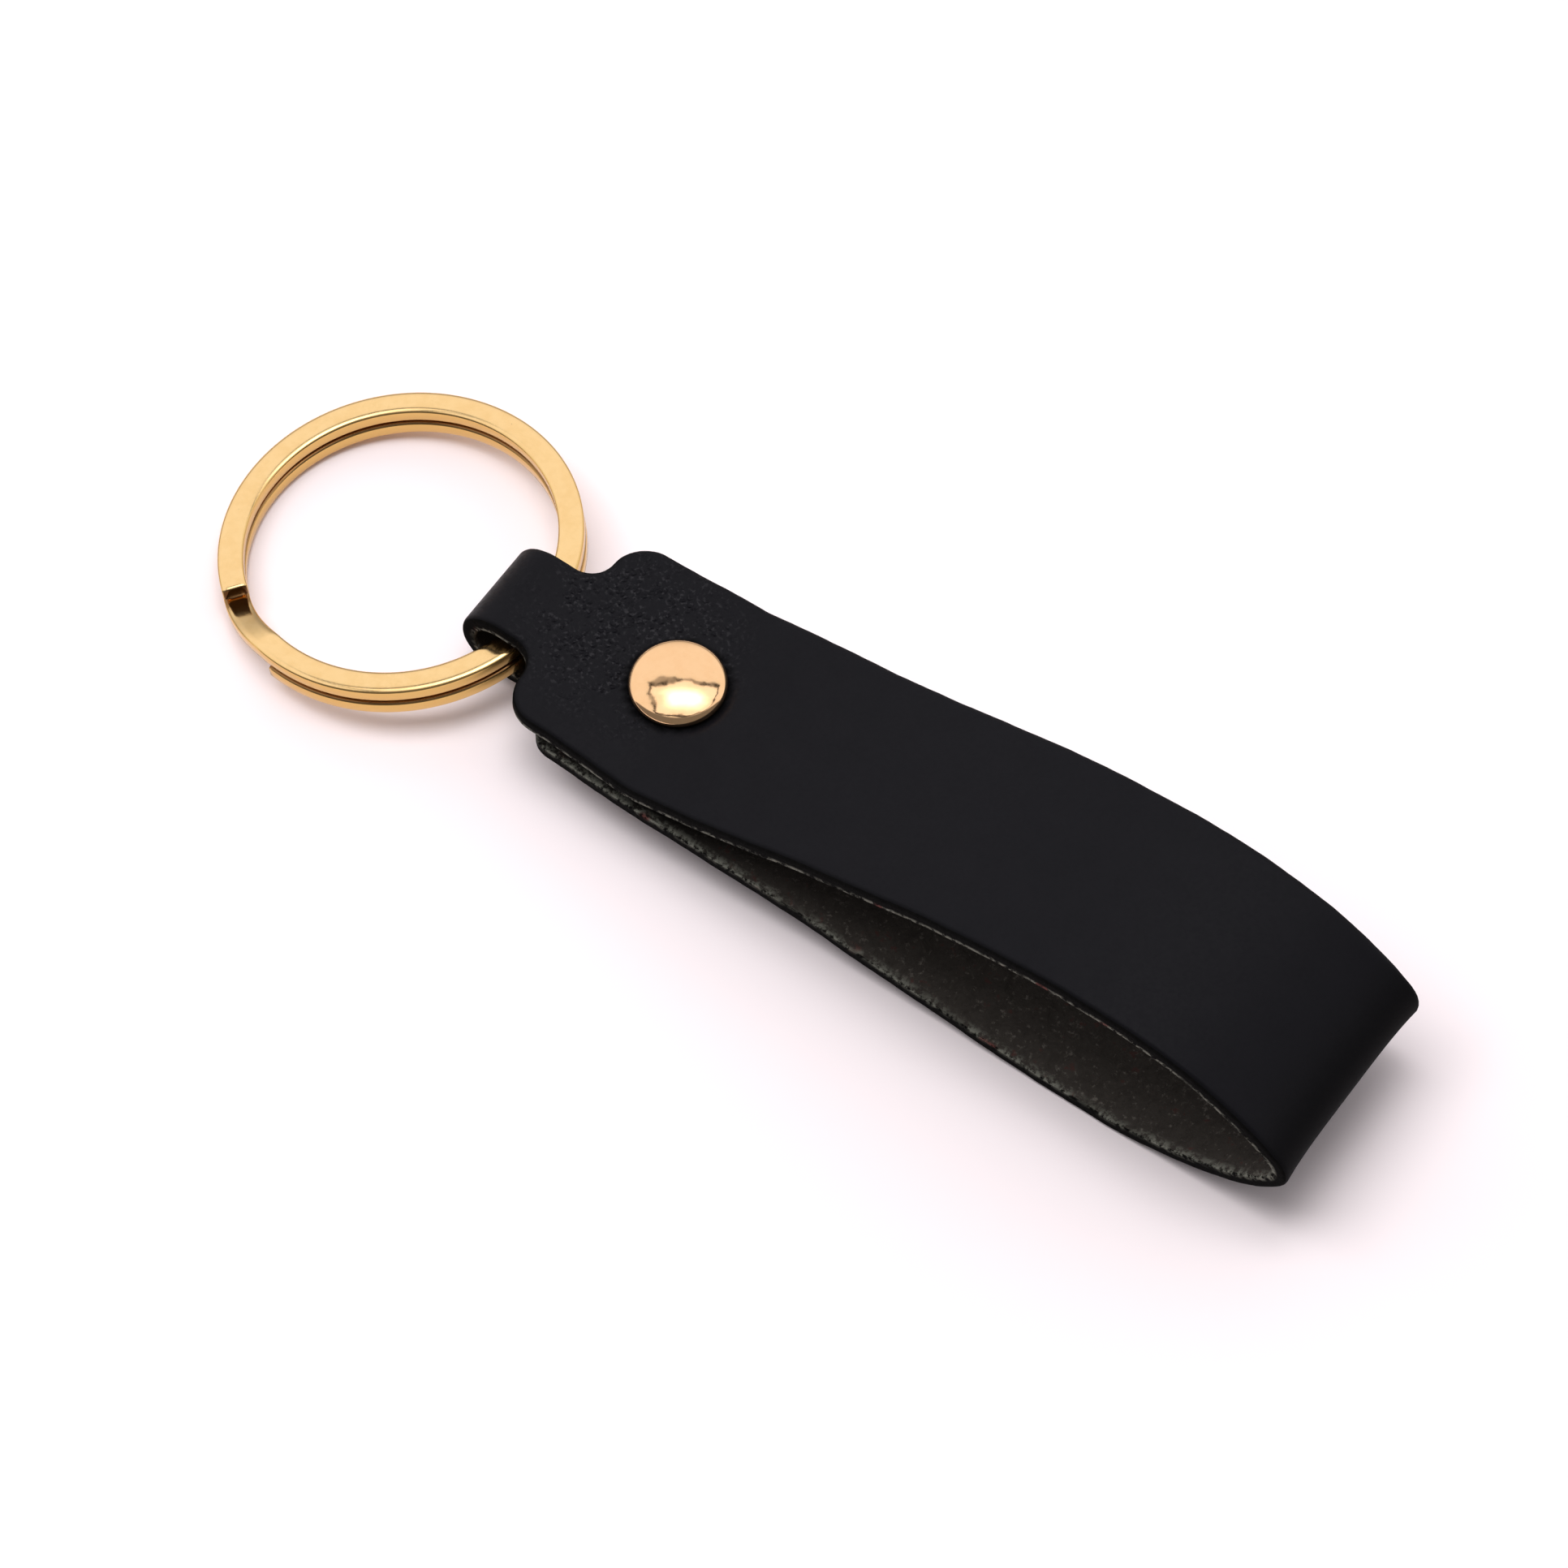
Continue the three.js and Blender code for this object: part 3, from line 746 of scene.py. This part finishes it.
def face_quads(rows, per_ring, ring_first, inside_first, upward):
    """The quads of a face, over a grid of its inside points with its ring's points round them."""
    columns = np.arange(COLUMNS + 1)
    middle_rows = np.arange(1, rows - 1)
    grid = np.empty((rows, COLUMNS + 1), dtype=int)
    grid[0] = ring_first + columns
    grid[-1] = ring_first + 2 * COLUMNS + rows - 1 - columns
    grid[1:-1, 0] = ring_first + per_ring - middle_rows
    grid[1:-1, -1] = ring_first + COLUMNS + middle_rows
    inside_count = (rows - 2) * (COLUMNS - 1)
    grid[1:-1, 1:-1] = inside_first + np.arange(inside_count).reshape(rows - 2, COLUMNS - 1)
    grid = grid.tolist()
    quads = []
    for row, next_row in zip(grid[:-1], grid[1:]):
        for i in range(COLUMNS):
            quad = (row[i], next_row[i], next_row[i + 1], row[i + 1])
            quads.append(quad if upward else quad[::-1])
    return quads


def strip_faces(rows, per_ring, ring_count):
    """All the strip's faces, and which material each has: 0 grain, 1 cut edge, 2 flesh side."""
    edge = [(a, d, c, b) for a, b, c, d in tube_faces(ring_count, per_ring)]
    top_first = ring_count * per_ring
    bottom_first = top_first + (rows - 2) * (COLUMNS - 1)
    last_ring = (ring_count - 1) * per_ring
    top = face_quads(rows, per_ring, 0, top_first, True)
    bottom = face_quads(rows, per_ring, last_ring, bottom_first, False)
    grain_edge = GRAIN_BANDS * per_ring
    slots = [0] * grain_edge + [1] * (len(edge) - grain_edge) + [0] * len(top) + [2] * len(bottom)
    return edge + top + bottom, slots


# ---- The strap's folded shape and looks --------------------------------------------------------

def bend(path, lengths, s, y, h):
    """Takes points of the flat strip (along, across, through) to where the folded strip lies."""
    direction = np.gradient(path, axis=0)
    angle = np.unwrap(np.arctan2(direction[:, 1], direction[:, 0]))
    x = np.interp(s, lengths, path[:, 0])
    z = np.interp(s, lengths, path[:, 1])
    turn = np.interp(s, lengths, angle)
    return np.stack([x - np.sin(turn) * h, y, z + np.cos(turn) * h], 1)


def press_seats(points):
    """Presses the leather in under both rivet caps, with a soft rim round each."""
    radius = np.hypot(points[:, 0], points[:, 1])
    free = smoothstep(radius, CAP_RADIUS + SEAT_RIM[0], CAP_RADIUS + SEAT_RIM[1])
    top = TOP_FACE_HEIGHT + SEAT_SLACK
    bottom = BOTTOM_FACE_HEIGHT - SEAT_SLACK
    z = points[:, 2]
    above = z > top
    below = z < bottom
    z[above] = top + (z[above] - top) * free[above]
    z[below] = bottom + (z[below] - bottom) * free[below]


def relax(points, on_top):
    """Lets the leather ease out of shape beside the rivet, which pins only the middle."""
    x, y = points[:, 0], points[:, 1]
    near = smoothstep(-y, DROOP_START, BODY_WIDTH / 2)
    far = smoothstep(y, 0.0, BODY_WIDTH / 2)
    beside = smoothstep(x, *BESIDE_FROM) * (1 - smoothstep(x, *BESIDE_TO))
    lifted = smoothstep(x, *LIFT_FROM) * (1 - smoothstep(x, *LIFT_TO))
    away = smoothstep(np.hypot(x, y), CAP_RADIUS + CAP_GRIP[0], CAP_RADIUS + CAP_GRIP[1])
    points[:, 1] += beside * (FAR_SPREAD * far - NEAR_SPREAD * near)
    points[:, 2] += on_top * away * (FAR_LIFT * far * lifted - NEAR_DROOP * near * beside)
    at_fold = smoothstep(x, FOLD["x"] + FLARE_LENGTH[0], FOLD["x"] + FLARE_LENGTH[1])
    points[:, 0] += FOLD_FLARE * at_fold * (np.abs(y / (BODY_WIDTH / 2)) ** 4 - FLARE_PINCH)


def strap_looks(points, flat, places):
    """Where the leather is worked, rolled or fibrous, and where painted shade darkens it: round the
    fold, at the caps' rims and where it is shut in, from 0 to 1.
    """
    s, y, h, rolled_and_shaded, fibre = flat.T
    along = s - places["rivet"] - WORKED_CENTRE[0]
    worked_reach = np.hypot(along / WORKED_STRETCH, y - WORKED_CENTRE[1])
    off_flesh = h > -HALF_THICKNESS + 0.01
    worked = (1 - smoothstep(worked_reach, *WORKED_FADE)) * off_flesh

    # Painted contact shade round each cap's rim.
    from_rim = np.hypot(points[:, 0], points[:, 1]) - CAP_RADIUS
    cap_rim_shade = (from_rim > -CAP_RIM_SHADE_START) * (1 - smoothstep(from_rim, *CAP_RIM_SHADE_FADE))
    # Painted shade round the fold, where the grain is also made matt.
    from_fold = np.abs(s - places["fold"])
    fold_shade = FOLD_MATT_AND_SHADE * (1 - smoothstep(from_fold, *FOLD_SHADE_FADE))

    upturned = smoothstep(s, places["fold"], places["fold"] + UPTURNED_LENGTH)
    off_rim = smoothstep(h + HALF_THICKNESS, *UPTURNED_RIM)
    return {
        "worked": worked,
        "rolled_and_shaded": np.maximum(np.maximum(rolled_and_shaded, fold_shade), cap_rim_shade),
        "fibre": fibre * (1 - UPTURNED_LOSS * upturned * off_rim),
        # Painted shade on the flesh side, fading out along x.
        "shut_in_shade": SHUT_IN_SHADE * (1 - smoothstep(points[:, 0], *SHUT_IN_SHADE_FADE)),
    }


def build_strap(materials):
    """Lays the strip out flat as (s, y, h), meshes it, folds it and marks how it looks."""
    path, lengths, places = strip_path()
    outline, normal = half_outline(places["end"], places["shoulder"])
    sides, normals = whole_outline(outline, normal)
    rings = edge_rings(sides, normals)
    rows = len(outline)
    grain = face_inside(rings[0], rows, HALF_THICKNESS, 0.0)
    flesh = face_inside(rings[-1], rows, -HALF_THICKNESS, FLESH_RIM_FIBRE)
    flat = np.concatenate(rings + [grain, flesh])
    faces, slots = strip_faces(rows, len(sides), len(rings))

    s, y, h = flat[:, :3].T
    points = bend(path, lengths, s, y, h)
    press_seats(points)
    relax(points, (s > places["shoulder"] - 1) & (s < places["crown"]))
    strap = make_object("leather_strap", points, faces, materials, slots)
    add_attribute(strap, "flat", "FLOAT_VECTOR", flat[:, :3])
    for name, values in strap_looks(points, flat, places).items():
        add_attribute(strap, name, "FLOAT", values)
    return strap


# ---- Split ring --------------------------------------------------------------------------------

def wire_section():
    """The wire's section as (out, up) points: a flat bar with eased edges and bowed sides."""
    x = WIRE_WIDTH / 2 - WIRE_EASE_WIDE
    y = WIRE_THICKNESS / 2 - WIRE_EASE_HIGH
    section = []
    for cx, cy, start in ((x, y, 0), (-x, y, 90), (-x, -y, 180), (x, -y, 270)):
        for angle in np.radians(np.linspace(start, start + 90, 9)):
            out = cx + WIRE_EASE_WIDE * math.cos(angle)
            section.append((out, cy + WIRE_EASE_HIGH * math.sin(angle)))
    points = np.array(section)
    bow = 1 - (points[:, 1] / (WIRE_THICKNESS / 2)) ** 2
    points[:, 0] += np.sign(points[:, 0]) * WIRE_BULGE * (bow - 1)
    return points


def ring_slope():
    """How far the ring slopes down from the eye, for its far edge to touch the surface below."""
    reach = RING_MEAN_RADIUS + RING_DIAMETER / 2
    distance = math.hypot(reach, RING_HEIGHT / 2)
    return math.asin(EYE_Z / distance) - math.atan2(RING_HEIGHT / 2, reach)


def crossover_heights(angles, level):
    """The wire's height along its turn: nearly straight down from one level to the other."""
    share = np.clip((CROSSOVER_START - angles) / (CROSSOVER_START - CROSSOVER_END), 0, 1)
    eased = smoothstep(share, 0, 1)
    return level - 2 * level * (0.7 * share + 0.3 * eased)


def ring_angles():
    """The turn of each section of the wire, with a narrowed one at either cut end."""
    swing = TOP_END_ANGLE - BOTTOM_END_ANGLE
    steps = math.ceil(swing / RING_STEP)
    angles = TOP_END_ANGLE - swing * np.arange(steps + 1) / steps
    ease = math.degrees(CUT_END_EASE / RING_MEAN_RADIUS)
    return np.concatenate([
        [TOP_END_ANGLE], angles[:1] - ease, angles[1:-1], angles[-1:] + ease, [BOTTOM_END_ANGLE]])


def ring_points(section, angles, heights, sizes, level):
    """The wire's sections wound round level, then sloped down from the eye."""
    points = []
    for angle, height, size in zip(np.radians(angles), heights, sizes):
        radius = RING_MEAN_RADIUS + section[:, 0] * size
        lower = (level - height) / (2 * level)
        points.append(np.stack([
            radius * math.cos(angle) - RING_MEAN_RADIUS + COIL_OFFSET[0] * lower,
            radius * math.sin(angle) + COIL_OFFSET[1] * lower,
            height + section[:, 1] * size,
        ], 1))
    x, y, z = np.concatenate(points).T
    slope = -ring_slope()
    sloped_x = x * math.cos(slope) + z * math.sin(slope) + EYE_X
    sloped_z = z * math.cos(slope) - x * math.sin(slope) + EYE_Z
    return np.stack([sloped_x, y, sloped_z], 1)


def build_split_ring(material):
    section = wire_section()
    per_turn = len(section)
    angles = ring_angles()
    sizes = np.ones(len(angles))
    sizes[[0, -1]] = CUT_END_SIZE
    level = (WIRE_THICKNESS + COIL_GAP) / 2
    heights = crossover_heights(angles, level)
    points = ring_points(section, angles, heights, sizes, level)

    last = (len(angles) - 1) * per_turn
    faces = tube_faces(len(angles), per_turn)
    faces.append(tuple(range(per_turn)))
    faces.append(tuple(last + i for i in reversed(range(per_turn))))
    ring = make_object("gold_split_ring", points, faces, [material])

    out = np.abs(section[:, 0])
    # Painted shade on the side walls.
    side = smoothstep(out, WIRE_WIDTH / 2 - SIDE_WALL_SHADE[0], WIRE_WIDTH / 2 - SIDE_WALL_SHADE[1])
    # Painted shade in the groove between the coils.
    towards_other = -np.outer(heights / level, section[:, 1] / (WIRE_THICKNESS / 2))
    groove_shade = smoothstep(towards_other, *GROOVE_SHADE_NEAR) * smoothstep(out, *GROOVE_SHADE_OUT)
    add_attribute(ring, "wire_side_shade", "FLOAT", np.tile(side, len(angles)))
    add_attribute(ring, "groove_shade", "FLOAT", groove_shade)
    # Painted shade on the cut ends.
    add_attribute(ring, "cut_end_shade", "FLOAT", np.repeat(sizes < 1, per_turn))
    return ring


# ---- Rivet caps --------------------------------------------------------------------------------

def on_dome(radius, top, tilt):
    """The (radius, height) of a point on a dome, tilted away from its top."""
    return radius * math.sin(tilt), top - radius * (1 - math.cos(tilt))


def cap_profile():
    """(radius, height) of a thin domed cap with a rolled rim, outside first, then inside."""
    edge_tilt = math.asin(CAP_DOME_EDGE / CAP_DOME_RADIUS)
    side_height = on_dome(CAP_DOME_RADIUS, CAP_TOP, edge_tilt)[1]
    outside = [on_dome(CAP_DOME_RADIUS, CAP_TOP, tilt) for tilt in np.linspace(0, edge_tilt, 18)]
    roll_x = CAP_DOME_EDGE - CAP_ROLL * math.sin(edge_tilt)
    roll_z = side_height - CAP_ROLL * math.cos(edge_tilt)
    for tilt in np.linspace(edge_tilt, math.radians(90), 9)[1:]:
        outside.append((roll_x + CAP_ROLL * math.sin(tilt), roll_z + CAP_ROLL * math.cos(tilt)))
    scale = CAP_RADIUS / outside[-1][0]
    outside = [(radius * scale, height) for radius, height in outside]

    # The rim turns in under itself, to a flat that leads to the opening, and then up inside.
    outside += [(CAP_RADIUS - 0.01, CAP_SEAT + 0.2), (CAP_RADIUS - 0.05, CAP_SEAT + 0.08)]
    outside += [(CAP_RADIUS - 0.15, CAP_SEAT), (CAP_RADIUS - 0.5, CAP_SEAT), (CAP_BORE, CAP_SEAT)]
    inside = [(CAP_BORE, CAP_SEAT + CAP_SHELL), (CAP_RADIUS - 0.6, CAP_SEAT + CAP_SHELL)]
    for tilt in np.linspace(edge_tilt * 0.9, 0, 6):
        inside.append(on_dome(CAP_DOME_RADIUS - CAP_SHELL, CAP_TOP - CAP_SHELL, tilt))
    return outside, inside


def build_cap(name, seat_height, upward, material):
    outside, inside = cap_profile()
    profile = outside[1:] + inside[:-1]
    sign = 1 if upward else -1
    points = [(0, 0, seat_height + sign * CAP_TOP)]
    for radius, height in profile:
        for i in range(CAP_SEGMENTS):
            a = 2 * math.pi * i / CAP_SEGMENTS * sign
            points.append((radius * math.cos(a), radius * math.sin(a), seat_height + sign * height))
    points.append((0, 0, seat_height + sign * (CAP_TOP - CAP_SHELL)))

    last = len(points) - 1
    around = [(i, (i + 1) % CAP_SEGMENTS) for i in range(CAP_SEGMENTS)]
    faces = [(0, 1 + i, 1 + j) for i, j in around]
    faces += tube_faces(len(profile), CAP_SEGMENTS, first=1)
    faces += [(last - CAP_SEGMENTS + i, last, last - CAP_SEGMENTS + j) for i, j in around]
    return make_object(name, points, faces, [material])


# ---- Build -------------------------------------------------------------------------------------

strap = build_strap([leather_grain(), leather_edge(), leather_flesh()])
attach(strap, "strap")
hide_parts("strap")

ring_gold = plated_metal(
    "pale_gold_plating", RING_GOLD, RING_GOLD_DEEP, roughness=0.14, mottle=0.5)
ring = build_split_ring(ring_gold)
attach(ring, "ring")
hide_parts("split_ring")

cap_gold = plated_metal(
    "rose_gold_plating", CAP_GOLD, CAP_GOLD_DEEP, roughness=0.075, mottle=0.4)
top_cap = build_cap("domed_cap_top", TOP_FACE_HEIGHT, True, cap_gold)
base_cap = build_cap("domed_cap_base", BOTTOM_FACE_HEIGHT, False, cap_gold)
for cap, node in ((top_cap, "rivet_top_cap"), (base_cap, "rivet_base_cap")):
    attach(cap, "strap")
    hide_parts(node)

stamped = plated_metal("stamped_brass", BRASS, BRASS_DEEP, roughness=0.35, mottle=0.6)
for node in ("rivet_socket", "rivet_post"):
    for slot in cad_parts[node].material_slots:
        slot.material = stamped


# ---- Floor, light and camera -------------------------------------------------------------------

def build_floor():
    size = FLOOR_HALF_SIZE
    corners = [(-size, -size, 0), (size, -size, 0), (size, size, 0), (-size, size, 0)]
    mesh = bpy.data.meshes.new("floor")
    mesh.from_pydata(corners, [], [(0, 1, 2, 3)])
    mesh.materials.append(floor_material())
    floor = bpy.data.objects.new("floor", mesh)
    bpy.context.scene.collection.objects.link(floor)


def camera_side():
    """Level unit vectors towards the camera and to the right, as the camera sees it."""
    a = CAMERA_AZIMUTH
    return Vector((math.sin(a), -math.cos(a), 0)), Vector((math.cos(a), math.sin(a), 0))


def add_key_light():
    """The softbox's light. Its reflection is in the world, so the lamp is left out of them."""
    towards, right = camera_side()
    over = math.radians(KEY_OVER)
    aside = math.radians(KEY_SIDEWAYS)
    in_plane = Vector((0, 0, 1)) * math.sin(over) - towards * math.cos(over)
    direction = in_plane * math.cos(aside) + right * math.sin(aside)
    across = right * math.cos(aside) - in_plane * math.sin(aside)
    light = bpy.data.lights.new("overhead_key", "AREA")
    light.shape = "RECTANGLE"
    light.size, light.size_y = KEY_SIZE
    light.energy = KEY_RADIANCE * math.pi * light.size * light.size_y
    lamp = bpy.data.objects.new("overhead_key", light)
    axes = Matrix((across, direction.cross(across), direction)).transposed()
    place = Matrix.Translation(Vector((RIVET_X, 0, 0)) + direction * KEY_DISTANCE)
    lamp.matrix_world = place @ axes.to_4x4()
    lamp.visible_camera = False
    lamp.visible_glossy = False
    bpy.context.scene.collection.objects.link(lamp)


def up_to(tree, value, limit, soft=FRAME_SOFTNESS):
    """1 below a limit in degrees and 0 above it, for a value in radians."""
    return remap(tree, value, math.radians(limit - soft), math.radians(limit + soft), 1.0, 0.0)


def between(tree, value, low, high, soft=FRAME_SOFTNESS):
    """1 between two limits in degrees and 0 outside them, for a value in radians."""
    rise = remap(tree, value, math.radians(low - soft), math.radians(low + soft))
    return math_node(tree, "MULTIPLY", rise, up_to(tree, value, high, soft))


def room_strength(tree, over):
    """A white room, dim on the camera's side and down at the far horizon."""
    dim_from, dim_to = np.radians(ROOM_DIMS)
    low, high = np.radians(HORIZON_FADE)
    room = remap(tree, over, dim_from, dim_to, ROOM_BEHIND, ROOM_AT_CAMERA)
    return math_node(tree, "MULTIPLY", room, remap(tree, over, low, high, HORIZON_SHARE, 1.0))


def set_world():
    """The room, with a softbox overhead that has a dark ragged frame round it."""
    world = bpy.data.worlds.new("soft_room")
    world.use_nodes = True
    tree = world.node_tree
    direction = tree.nodes.new("ShaderNodeTexCoord").outputs["Generated"]
    towards, right = camera_side()
    behind = math_node(tree, "MULTIPLY", dot(tree, direction, towards), -1.0)
    height = math_node(tree, "ABSOLUTE", dot(tree, direction, (0, 0, 1)))
    over = math_node(tree, "ARCTAN2", height, behind)
    sideways = math_node(tree, "ARCSINE", dot(tree, direction, right))
    from_centre = math_node(tree, "SUBTRACT", sideways, math.radians(SOFTBOX_CENTRE))
    from_centre = math_node(tree, "ABSOLUTE", from_centre)
    torn = noise(tree, direction, scale=4.5, roughness=0.6)
    ragged = remap(tree, torn, 0.3, 0.7, -FRAME_RAGGED, FRAME_RAGGED)
    over_edge = math_node(tree, "ADD", over, ragged)
    side_edge = math_node(tree, "ADD", from_centre, ragged)

    frame_part = math_node(
        tree, "MULTIPLY",
        between(tree, over_edge, SOFTBOX_FROM - FRAME_WIDTH, SOFTBOX_TO + FRAME_WIDTH),
        up_to(tree, side_edge, SOFTBOX_HALF_WIDTH + SIDE_FRAME_WIDTH))
    box_part = math_node(
        tree, "MULTIPLY",
        between(tree, over_edge, SOFTBOX_FROM, SOFTBOX_TO),
        up_to(tree, side_edge, SOFTBOX_HALF_WIDTH))
    glow_from, glow_to = SOFTBOX_FROM + GLOW_SOFTNESS, SOFTBOX_TO - GLOW_SOFTNESS
    glow = math_node(
        tree, "MULTIPLY",
        between(tree, over, glow_from, glow_to, GLOW_SOFTNESS),
        up_to(tree, side_edge, SOFTBOX_HALF_WIDTH - GLOW_SIDE_SOFTNESS, GLOW_SIDE_SOFTNESS))

    smudge = remap(tree, noise(tree, direction, scale=6.0), 0.35, 0.65, 0.55, 1.0)
    shade = math_node(tree, "MULTIPLY", frame_part, smudge)
    room = remap(tree, shade, 0.0, 1.0, room_strength(tree, over), FRAME_DARKNESS)
    box = remap(tree, glow, 0.0, 1.0, SOFTBOX_RIM, SOFTBOX_MIDDLE)
    background = tree.nodes["Background"]
    plug(tree, background.inputs["Strength"], remap(tree, box_part, 0.0, 1.0, room, box))
    background.inputs["Color"].default_value = ROOM_WHITE
    bpy.context.scene.world = world


def add_camera():
    a, e = CAMERA_AZIMUTH, CAMERA_ELEVATION
    back = Vector((math.sin(a) * math.cos(e), -math.cos(a) * math.cos(e), math.sin(e)))
    _, right = camera_side()
    up = back.cross(right)
    turned_right = right * math.cos(CAMERA_ROLL) + up * math.sin(CAMERA_ROLL)
    turned_up = up * math.cos(CAMERA_ROLL) - right * math.sin(CAMERA_ROLL)
    camera = bpy.data.cameras.new("camera")
    camera.lens = CAMERA_LENS
    camera.clip_start = 0.01
    camera.clip_end = 20
    holder = bpy.data.objects.new("camera", camera)
    axes = Matrix((turned_right, turned_up, back)).transposed()
    place = Matrix.Translation(CAMERA_TARGET + back * CAMERA_DISTANCE)
    holder.matrix_world = place @ axes.to_4x4()
    bpy.context.scene.collection.objects.link(holder)
    bpy.context.scene.camera = holder


build_floor()
set_world()
add_key_light()
add_camera()
bpy.context.scene.view_settings.view_transform = "Standard"
